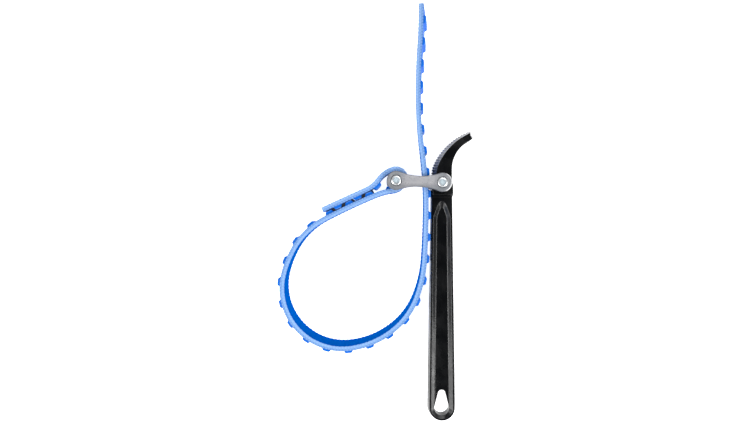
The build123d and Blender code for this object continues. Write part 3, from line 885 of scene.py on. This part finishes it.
def link_plate(node, form, face_up, holes, material):
    """One link plate with a rounded outer rim; its holes are (radius, seat radius, seat depth)."""
    low, high = z_range(node)
    axis = (RIGHT_PIN - LEFT_PIN) / np.linalg.norm(RIGHT_PIN - LEFT_PIN)
    eye, waist, rim = form
    outline = link_outline(eye, waist)
    turn = np.array([[axis[0], -axis[1]], [axis[1], axis[0]]])
    outline = outline @ turn.T
    inward = outline_normals(outline)
    solid = Solid()
    face, back, sign = (high, low, 1) if face_up else (low, high, -1)
    # the third value of each step is the weight of the painted rim shade and highlight
    steps = [(0.35, back, 0.6), (0.05, back + sign * 0.3, 1.0)]
    steps += [(inset, face - sign * drop, 1.0 - 0.8 * inset / rim) for inset, drop in rounded(rim)]
    steps += [(rim + 0.12, face, 0.0)]
    loops = [solid.loop(outline + inward * inset, z, shade) for inset, z, shade in steps]
    solid.strips(loops)
    radius, seat, depth = holes
    face_holes, back_holes = [], []
    for pin in (LEFT_PIN, RIGHT_PIN):
        # the counterbores' walls and bores get the painted rim shade too
        rings = [solid.loop(circle(pin, r), z, shade) for r, z, shade in (
            (seat + 0.45, face, 0.0), (seat + 0.25, face, 0.25), (seat + 0.06, face - sign * 0.1, 0.7),
            (seat, face - sign * 0.35, 1.0), (seat, face - sign * depth, 1.0),
            (radius, face - sign * depth, 1.0), (radius, back + sign * 0.25, 1.0),
            (radius + 0.25, back, 0.6))]
        solid.strips(rings)
        face_holes.append(rings[0])
        back_holes.append(rings[-1])
    solid.fill(loops[-1], face_holes)
    solid.fill(loops[0], back_holes)
    declare(solid.make(f"{node}_detail", [material]), "link", "cast_link", node)


def hexagon(centre, flats, turn):
    """Points of a hexagon, evenly spread by angle."""
    angle = np.linspace(0, 2 * math.pi, 72, endpoint=False)
    return polar(centre, flats / 2 / np.cos((angle - turn) % (math.pi / 3) - math.pi / 6), angle)


def screw(side, pin, turn, materials):
    """Low-head socket screw: crowned head with a broken edge, hexagon socket, plain shank."""
    low, high = z_range(f"{side}_screw")
    seat = z_range("link_plate_front")[1] - SEAT_DEPTH
    solid = Solid()
    shank = [solid.loop(circle(pin, r), z) for r, z in
             ((0.01, low), (2.4, low), (2.98, low + 0.6), (2.98, seat))]
    head = [solid.loop(circle(pin, r), z) for r, z in
            ((4.9, seat), (SCREW_HEAD, seat + 0.15), (SCREW_HEAD, high - 1.0), (4.9, high - 0.7),
             (4.65, high - 0.42), (4.2, high - 0.2), (3.7, high - 0.07), (3.3, high))]
    solid.strips(shank + head)
    mouth = [solid.loop(hexagon(pin, HEX_FLATS + extra, turn), z) for extra, z in
             ((0.9, high - 0.01), (0.7, high - 0.1), (0.2, high - 0.4), (0.0, high - 1.3))]
    floor = [solid.loop(circle(pin, r), z) for r, z in ((1.6, high - 1.45), (0.01, high - 1.9))]
    solid.strips([head[-1], mouth[0]])
    solid.strips(mouth + floor, slot=1)
    solid.cap(shank[0])
    solid.cap(floor[-1], slot=1)
    piece = solid.make(f"{side}_screw_detail", materials, FINE_SHARP)
    declare(piece, "link", "zinc_screw", f"{side}_screw")


def barrel(side, pin, material):
    """Flanged barrel nut, open at its front end, with a centre mark in its flange."""
    low, high = z_range(f"{side}_barrel")
    profile = [(0.01, low + 0.5), (0.6, low), (FLANGE - 0.3, low), (FLANGE, low + 0.3),
               (FLANGE, low + FLANGE_THICK), (BARREL + 0.1, low + FLANGE_THICK), (BARREL, low + 1.8),
               (BARREL, high - 0.4), (BARREL - 0.4, high), (3.4, high), (BORE, high - 0.35),
               (BORE, high - 20.0), (0.01, high - 20.0)]
    loops = [(circle(pin, radius, 96), z) for radius, z in profile]
    piece = stack(f"{side}_barrel_detail", loops, [material], FINE_SHARP)
    declare(piece, "link", "barrel_steel", f"{side}_barrel")


def make_link():
    """Both link plates, and at each pin a screw and a barrel."""
    cast = plate_material()
    link_plate("link_plate_front", FRONT_PLATE, True, (BORE, COUNTERBORE, SEAT_DEPTH), cast)
    link_plate("link_plate_rear", REAR_PLATE, False, (BARREL + 0.05, FLANGE + 0.05, FLANGE_THICK), cast)
    metals = [zinc_material(), shaded_socket_material()]
    steel = barrel_material()
    for side, pin, turn in (("pivot", RIGHT_PIN, 0.35), ("eye", LEFT_PIN, 0.1)):
        screw(side, pin, turn, metals)
        barrel(side, pin, steel)


# ---- lever ----
HEAD_HALF = 12.7  # half thickness of the head and the horn
GRIP_HALF = 6.5  # half thickness of the grip
SHOULDER_TOP = -12.4
SHOULDER_BOTTOM = -15.6
BOSS = 10.1
GRIP_X = RIGHT_PIN[0] + 1.0
GRIP_TOP_HALF_WIDTH = 10.2
GRIP_END_RADIUS = 13.0
GRIP_END_Y = -229.0
HORN_OUTER = (73.3, -9.4)
HORN_OUTER_RADIUS = 64.0
HORN_INNER = (64.9, 12.3)
HORN_INNER_RADIUS = 31.9
HORN_TIP = 108.6  # degrees round the outer centre
HORN_ROOT = 158.0
TEETH_END = 168.0  # where the serrations have run out
HORN_INNER_TIP = 114.5  # degrees round the inner centre
HORN_END = (4.6, 3.7)  # from the inner arc's end out to the parting line's inner corner
TOOTH_PITCH = 3.0
TOOTH_DEPTH = 1.2
EDGE_RADIUS = 0.5
TOOTH_DRAFT = 3.6  # how far the serrated wall leans in from mid plane to face
TIP_DRAFT = 2.7  # the same near the horn's tip
TIP_LEAN = (-2.2, -3.6)  # from the parting line in to the face, at the two corners of the tip
CORNER_LEAN = (-3.0, -2.3)
TIP_EASE = 5.6  # length along the edge over which the lean changes
TOOTH_LAND = 2.5  # half height of the serrations before they lean and fade
HORN_SET = (0.9, -0.6)  # the serrated edge stands out at the tip and in at the root
HORN_LENGTH = 55.0
LEVER_SHARP = math.radians(32)
TIP_CREST = 2.6  # degrees of plain edge between the tip and the first serration
PANEL_RIM = 1.9
PANEL_SLOPE = 3.9
PANEL_DEPTH = 2.8
PANEL_APEX_Y = -19.5
PANEL_SHOULDER_Y = -35.0
GRIP_BULGE = [  # (y, how far the parting line stands out) of the forging's sides
    (-200.0, 1.3), (-120.0, 1.1), (-100.0, 0.6), (-85.0, 0.25), (100.0, 0.25),
]
HOLE_LARGE = 7.4
HOLE_SMALL = 4.0
HOLE_Y = -230.0  # centre of the hole's large end
HOLE_LENGTH = 14.3
OUTLINE_STEP = 0.25
OUTLINE_PASSES = 18  # of smoothing


def lines(corners):
    """Points at an even spacing from each corner towards the next, the last corner left out."""
    for start, end in zip(np.array(corners, float), np.array(corners, float)[1:]):
        count = max(1, int(np.linalg.norm(end - start) / OUTLINE_STEP))
        yield start + (end - start) * (np.arange(count) / count)[:, None]


def fine_arc(centre, radius, start, end):
    """Points on a circle at an even spacing."""
    return arc(centre, radius, start, end, int(abs(math.radians(end - start)) * radius / OUTLINE_STEP))


def lever_outline():
    """Smooth counter-clockwise outline of the lever without its teeth, starting at the horn's tip."""
    root, tip = (arc(HORN_OUTER, HORN_OUTER_RADIUS, angle, angle, 1)[0] for angle in (HORN_ROOT, HORN_TIP))
    left, middle = RIGHT_PIN[0] - BOSS, RIGHT_PIN[1]
    inner_root = (HORN_INNER[0] - HORN_INNER_RADIUS, HORN_INNER[1])
    inner_tip = arc(HORN_INNER, HORN_INNER_RADIUS, HORN_INNER_TIP, HORN_INNER_TIP, 1)[0]
    boss_side = [root, (left + 0.12, middle + 6), (left, middle),
                 (GRIP_X - GRIP_TOP_HALF_WIDTH, middle - 4.5), (GRIP_X - GRIP_END_RADIUS, GRIP_END_Y)]
    grip_side = [(GRIP_X + GRIP_END_RADIUS, GRIP_END_Y), (GRIP_X + GRIP_TOP_HALF_WIDTH, middle - 3),
                 (inner_root[0] + 0.1, middle + 2), inner_root]
    points = smoothed(np.concatenate([
        fine_arc(HORN_OUTER, HORN_OUTER_RADIUS, HORN_TIP, HORN_ROOT), *lines(boss_side),
        fine_arc((GRIP_X, GRIP_END_Y), GRIP_END_RADIUS, 180, 360), *lines(grip_side),
        fine_arc(HORN_INNER, HORN_INNER_RADIUS, 180, HORN_INNER_TIP),
        *lines([inner_tip, inner_tip + HORN_END, tip])]), OUTLINE_PASSES)
    keep = (points[:, 1] > -8) | (points[:, 1] < GRIP_END_Y + 6) | (np.arange(len(points)) % 6 == 0)
    return points[keep]


def half_thickness(y):
    """The lever's half thickness: a thick head that slopes down to a thin grip."""
    share = np.clip((np.asarray(y) - SHOULDER_BOTTOM) / (SHOULDER_TOP - SHOULDER_BOTTOM), 0, 1)
    share = share * share * (3 - 2 * share)
    return GRIP_HALF + (HEAD_HALF - GRIP_HALF) * share


def round_horn(points):
    """Distance of points from the horn's outer centre, and their angle in degrees round it."""
    away = points - np.array(HORN_OUTER)
    return np.linalg.norm(away, axis=1), np.degrees(np.arctan2(away[:, 1], away[:, 0]))


def tooth_cut(points):
    """Depth of the serrations at outline points, and how much each belongs to the serrated edge."""
    away, angle = round_horn(points)
    room = np.interp(angle, (HORN_TIP + 1, HORN_TIP + 8), (1.2, 4.0))
    on_arc = np.abs(away - HORN_OUTER_RADIUS) < room
    share = on_arc * np.clip(angle - HORN_TIP + 2, 0, 1) * np.clip((TEETH_END - angle) / 3, 0, 1)
    step = math.degrees(TOOTH_PITCH / HORN_OUTER_RADIUS)
    phase = ((angle - HORN_TIP - TIP_CREST) / step) % 1.0
    shape = np.interp(phase, [0, 0.14, 0.62, 1.0], [0, 0, 1, 0])
    return TOOTH_DEPTH * shape * share * (angle > HORN_TIP + TIP_CREST), share


def wall_lean(outline, inward, toothed):
    """How the horn's walls lean in from the parting line to the face, as vectors, and where they do."""
    along_edge, total = distances(outline)  # from the tip down the serrated edge
    along_end = total - along_edge  # from the tip across the end face
    width = math.hypot(TIP_LEAN[0] - CORNER_LEAN[0], TIP_LEAN[1] - CORNER_LEAN[1]) + TIP_EASE
    edge_lean = inward * np.interp(along_edge, (0, HORN_LENGTH), (TIP_DRAFT, TOOTH_DRAFT))[:, None]
    near = np.interp(along_edge, (0, TIP_EASE), (1, 0))[:, None]
    edge_lean = edge_lean * (1 - near) + np.array(TIP_LEAN) * near
    across = np.interp(along_end, (0, width), (0, 1))[:, None]
    end_lean = np.array(TIP_LEAN) * (1 - across) + np.array(CORNER_LEAN) * across
    at_end = along_end < 2 * width
    share = np.where(at_end, np.interp(along_end, (width, 2 * width - 2), (1, 0)), toothed)
    return np.where(at_end[:, None], end_lean, edge_lean), share


def panel_outline(inset):
    """Outline of the recessed panel at an inset from the grip's sides, pointed at its upper end."""
    end = GRIP_END_RADIUS - inset
    taper = (GRIP_END_RADIUS - GRIP_TOP_HALF_WIDTH) / (RIGHT_PIN[1] - GRIP_END_Y)
    half = GRIP_TOP_HALF_WIDTH - inset + taper * (RIGHT_PIN[1] - PANEL_SHOULDER_Y)
    apex = PANEL_APEX_Y - (inset - PANEL_RIM) * 1.6
    t = np.linspace(0, 1, 24, endpoint=False)
    arch_x = half * (1 - t) ** 0.85
    arch_y = PANEL_SHOULDER_Y + (apex - PANEL_SHOULDER_Y) * np.sin(t * math.pi / 2) ** 1.25
    side = np.linspace(0, 1, 100, endpoint=False)
    right_side = np.stack([GRIP_X + end + (half - end) * side,
                           GRIP_END_Y + (PANEL_SHOULDER_Y - GRIP_END_Y) * side], axis=-1)
    arch_right = np.stack([GRIP_X + arch_x, arch_y], axis=-1)
    arch_left = np.stack([GRIP_X - arch_x, arch_y], axis=-1)[::-1]
    left_side = np.stack([2 * GRIP_X - right_side[::-1, 0], right_side[::-1, 1]], axis=-1)
    bottom = arc((GRIP_X, GRIP_END_Y), end, 180, 360, 48)[1:]
    return np.concatenate([right_side, arch_right, [(GRIP_X, apex)], arch_left, left_side, bottom])


PANEL_STEPS = [  # (share of the slope, share of the depth), its edges rounded
    (-0.06, 0.0), (0.02, 0.02), (0.1, 0.09), (0.2, 0.2), (0.5, 0.52), (0.78, 0.8), (0.9, 0.92),
    (1.02, 0.98), (1.15, 1.0),
]


def panel_depth(points):
    """Depth of the recessed panel at points near its round end."""
    away = np.where(points[:, 1] < GRIP_END_Y,
                    np.linalg.norm(points - (GRIP_X, GRIP_END_Y), axis=1),
                    np.abs(points[:, 0] - GRIP_X))
    share = (GRIP_END_RADIUS - away - PANEL_RIM) / PANEL_SLOPE
    return PANEL_DEPTH * np.interp(share, *np.array(PANEL_STEPS).T)


def teardrop(extra=0.0):
    """Outline of the hanging hole, grown by extra."""
    large, small = HOLE_LARGE + extra, HOLE_SMALL + extra
    lean = math.degrees(math.asin((HOLE_LARGE - HOLE_SMALL) / HOLE_LENGTH))
    low = arc((GRIP_X, HOLE_Y), large, 180 - lean, 360 + lean, 64)
    high = arc((GRIP_X, HOLE_Y + HOLE_LENGTH), small, lean, 180 - lean, 32)
    share = np.linspace(0, 1, 12)[1:-1, None]
    up = low[-1] + (high[0] - low[-1]) * share
    down = high[-1] + (low[0] - high[-1]) * share
    return np.concatenate([low, up, high, down])


def cut_away(piece, tool):
    """Takes the tool's shape out of a piece and removes the tool."""
    modifier = piece.modifiers.new("cut", "BOOLEAN")
    modifier.operation = "DIFFERENCE"
    modifier.solver = "EXACT"
    modifier.object = tool
    bpy.context.view_layer.update()
    graph = bpy.context.evaluated_depsgraph_get()
    mesh = bpy.data.meshes.new_from_object(piece.evaluated_get(graph))
    piece.modifiers.clear()
    old = piece.data
    piece.data = mesh
    bpy.data.meshes.remove(old)
    bpy.data.objects.remove(tool)


def eased(values, reach):
    """Average of values along a closed outline over a few points to each side."""
    return np.mean([np.roll(values, k, axis=0) for k in range(-reach, reach + 1)], axis=0)


def lever_half(solid, sign, outline, inward, waist):
    """Top or bottom half of the lever, from the parting line to the panel's floor."""
    cut, toothed = tooth_cut(outline)
    inward = eased(inward, 12)
    lean, share = wall_lean(outline, inward, eased(toothed, 6))
    top = half_thickness(outline[:, 1])
    drop = EDGE_RADIUS + (top - TOOTH_LAND - EDGE_RADIUS) * share
    loops = [waist]
    for straight in np.linspace(0, 1, 9):
        angle = straight * math.pi / 2
        rounding = EDGE_RADIUS * (1 - math.cos(angle)) * (1 - share) + cut * (1 - straight) ** 1.3
        leaning = (1 - (1 - straight) ** 1.15) * share
        flat = outline + inward * rounding[:, None] + lean * leaning[:, None]
        fall = (1 - math.sin(angle)) * (1 - share) + (1 - straight) * share
        z = half_thickness(flat[:, 1]) - drop * fall
        band = share * (1 - 0.4 * straight ** 2)
        loops.append(solid.loop(flat, MID_Z + sign * z, (1 - abs(2 * straight - 1)) * 0.5, band))
    edge = outline + inward * (EDGE_RADIUS * (1 - share) + 0.15)[:, None] + lean * share[:, None]
    loops.append(solid.loop(edge, MID_Z + sign * half_thickness(edge[:, 1])))
    solid.strips(loops)
    panel = []
    for share, depth in PANEL_STEPS:
        flat = panel_outline(PANEL_RIM + share * PANEL_SLOPE)
        z = half_thickness(flat[:, 1]) - depth * PANEL_DEPTH
        # the rim value at the panel's lip lightens the paint there as a painted highlight
        panel.append(solid.loop(flat, MID_Z + sign * z, math.exp(-(share / 0.08) ** 2) * (share > 0)))
    solid.strips(panel)
    solid.fill(panel[-1])
    x = GRIP_X + np.arange(-9.5, 9.6, 1.2)  # the face's slope needs points of its own
    y = np.arange(SHOULDER_BOTTOM - 0.8, SHOULDER_TOP + 0.9, 0.25)
    inner = np.stack(np.meshgrid(x, y), axis=-1).reshape(-1, 2)
    room = inside(inner, edge + inward * 0.35)
    room &= ~inside(inner, panel_outline(PANEL_RIM - 0.15 * PANEL_SLOPE))
    solid.fill(loops[-1], [panel[0]], inner[room], lambda p: MID_Z + sign * half_thickness(p[:, 1]))


def make_lever():
    """The black forging, its hanging hole and its bore cut after its outside is made."""
    outline = lever_outline()
    inward = outline_normals(outline)
    cut, toothed = tooth_cut(outline)
    set_in = -np.interp(round_horn(outline)[1], (HORN_TIP, HORN_ROOT), HORN_SET)
    outline = outline + inward * (set_in * toothed)[:, None]
    solid = Solid()
    bulge = np.interp(outline[:, 1], *np.array(GRIP_BULGE).T)
    waist = solid.loop(outline + eased(inward, 3) * (cut - bulge)[:, None], MID_Z, 0.2, toothed)
    for sign in (1, -1):
        lever_half(solid, sign, outline, inward, waist)
    piece = solid.make("lever_forging", [paint_material()])
    hole = teardrop()
    surface = MID_Z + GRIP_HALF - panel_depth(hole)
    steps = [(0.25, 0.6), (0.22, 0.03), (0.08, -0.08), (0.0, -0.3), (0.0, -0.6)]
    loops = [(teardrop(e), surface + d) for e, d in steps]
    loops += [(teardrop(e), 2 * MID_Z - (surface + d)) for e, d in steps[::-1]]
    cut_away(piece, stack("hole_cutter", loops))
    half = [(0.6, HEAD_HALF + 1), (0.6, HEAD_HALF - 0.05), (0.08, HEAD_HALF - 0.6)]
    bore = [(circle(RIGHT_PIN, BARREL + gap), MID_Z - z) for gap, z in half]
    bore += [(circle(RIGHT_PIN, BARREL + gap), MID_Z + z) for gap, z in half[::-1]]
    cut_away(piece, stack("bore_cutter", bore))
    finish_mesh(piece.data, LEVER_SHARP)
    declare(piece, "lever", "black_forging", "lever")


# ---- studio ----
VIEW_CENTRE = (-44.0, -29.4)
VIEW_DISTANCE = 461.0  # from the camera to the belt's front edge
VIEW_WIDTH = 750.0  # millimetres across the picture at that distance
SENSOR = 36.0


def make_camera():
    """Looks straight down on the wrench."""
    data = bpy.data.cameras.new("camera")
    data.sensor_width = SENSOR
    data.lens = SENSOR * VIEW_DISTANCE / VIEW_WIDTH
    data.clip_start, data.clip_end = 0.01, 20.0
    camera = bpy.data.objects.new("camera", data)
    camera.location = (VIEW_CENTRE[0] * MM, VIEW_CENTRE[1] * MM, (BELT_HIGH + VIEW_DISTANCE) * MM)
    bpy.context.scene.collection.objects.link(camera)
    bpy.context.scene.camera = camera


def make_floor():
    """Wide sheet of white paper under the wrench."""
    bm = bmesh.new()
    bmesh.ops.create_grid(bm, x_segments=24, y_segments=24, size=4.0)
    mesh = bpy.data.meshes.new("floor")
    bm.to_mesh(mesh)
    bm.free()
    floor = add_object("floor", mesh, [floor_material()])
    floor.location = (0, 0, -0.0005)


def softbox(name, place, size, power, aim=(-0.03, -0.03, 0.015)):
    """Square area light turned towards the wrench."""
    data = bpy.data.lights.new(name, "AREA")
    data.shape = "RECTANGLE"
    data.size, data.size_y = size
    data.energy = power
    light = bpy.data.objects.new(name, data)
    light.location = place
    light.rotation_euler = (Vector(aim) - Vector(place)).to_track_quat("-Z", "Y").to_euler()
    light.visible_camera = False
    bpy.context.scene.collection.objects.link(light)


def make_light():
    """Light tent: bright low down all round, dark overhead, with soft boxes to each side."""
    world = bpy.data.worlds.new("studio")
    world.use_nodes = True
    tree = world.node_tree
    place = add_node(tree, "ShaderNodeTexCoord").outputs["Generated"]
    split = add_node(tree, "ShaderNodeSeparateXYZ", {0: place}).outputs
    ramp = add_node(tree, "ShaderNodeValToRGB", {0: split["Z"]})
    stops = ramp.color_ramp.elements
    stops[0].position, stops[0].color = 0.0, (0.75, 0.75, 0.75, 1)
    stops[1].position, stops[1].color = 0.88, (0.03, 0.03, 0.033, 1)
    for height, grey in ((0.3, 0.6), (0.65, 0.35)):
        stops.new(height).color = (grey, grey, grey, 1)
    high = add_node(tree, "ShaderNodeMapRange", {
        "Value": split["Z"], "From Min": 0.3, "From Max": 0.6, "To Min": 0.3, "To Max": 1.0}).outputs[0]
    far = add_node(tree, "ShaderNodeMapRange", {
        "Value": split["Y"], "From Min": -0.3, "From Max": 0.05, "To Min": 1.0, "To Max": high}).outputs[0]
    shade = add_node(tree, "ShaderNodeVectorMath", {0: ramp.outputs[0], "Scale": far}, operation="SCALE")
    background = tree.nodes["Background"]
    tree.links.new(shade.outputs[0], background.inputs["Color"])
    background.inputs["Strength"].default_value = 1.0
    bpy.context.scene.world = world
    softbox("box_right", (0.75, -0.25, 0.70), (0.5, 0.3), 3.5)
    softbox("box_left", (-0.75, -0.25, 0.80), (0.5, 0.3), 4.0)
    softbox("front_right", (0.60, -0.52, 0.80), (0.36, 0.26), 1.7)
    softbox("front_left", (-0.60, -0.52, 0.80), (0.32, 0.26), 2.6)
    softbox("low_right", (0.50, -0.38, 0.125), (0.17, 0.12), 0.5, aim=(0.02, -0.2, 0.02))
    softbox("low_left", (-0.45, -0.405, 0.265), (0.14, 0.14), 0.4, aim=(0.02, -0.2, 0.02))
    softbox("box_far", (0.30, 0.66, 0.98), (0.9, 0.35), 5.0)
    bpy.context.scene.view_settings.view_transform = "Standard"


make_camera()
make_belt()
make_gap_shade()
make_stitches()
make_link()
make_lever()
make_floor()
make_light()
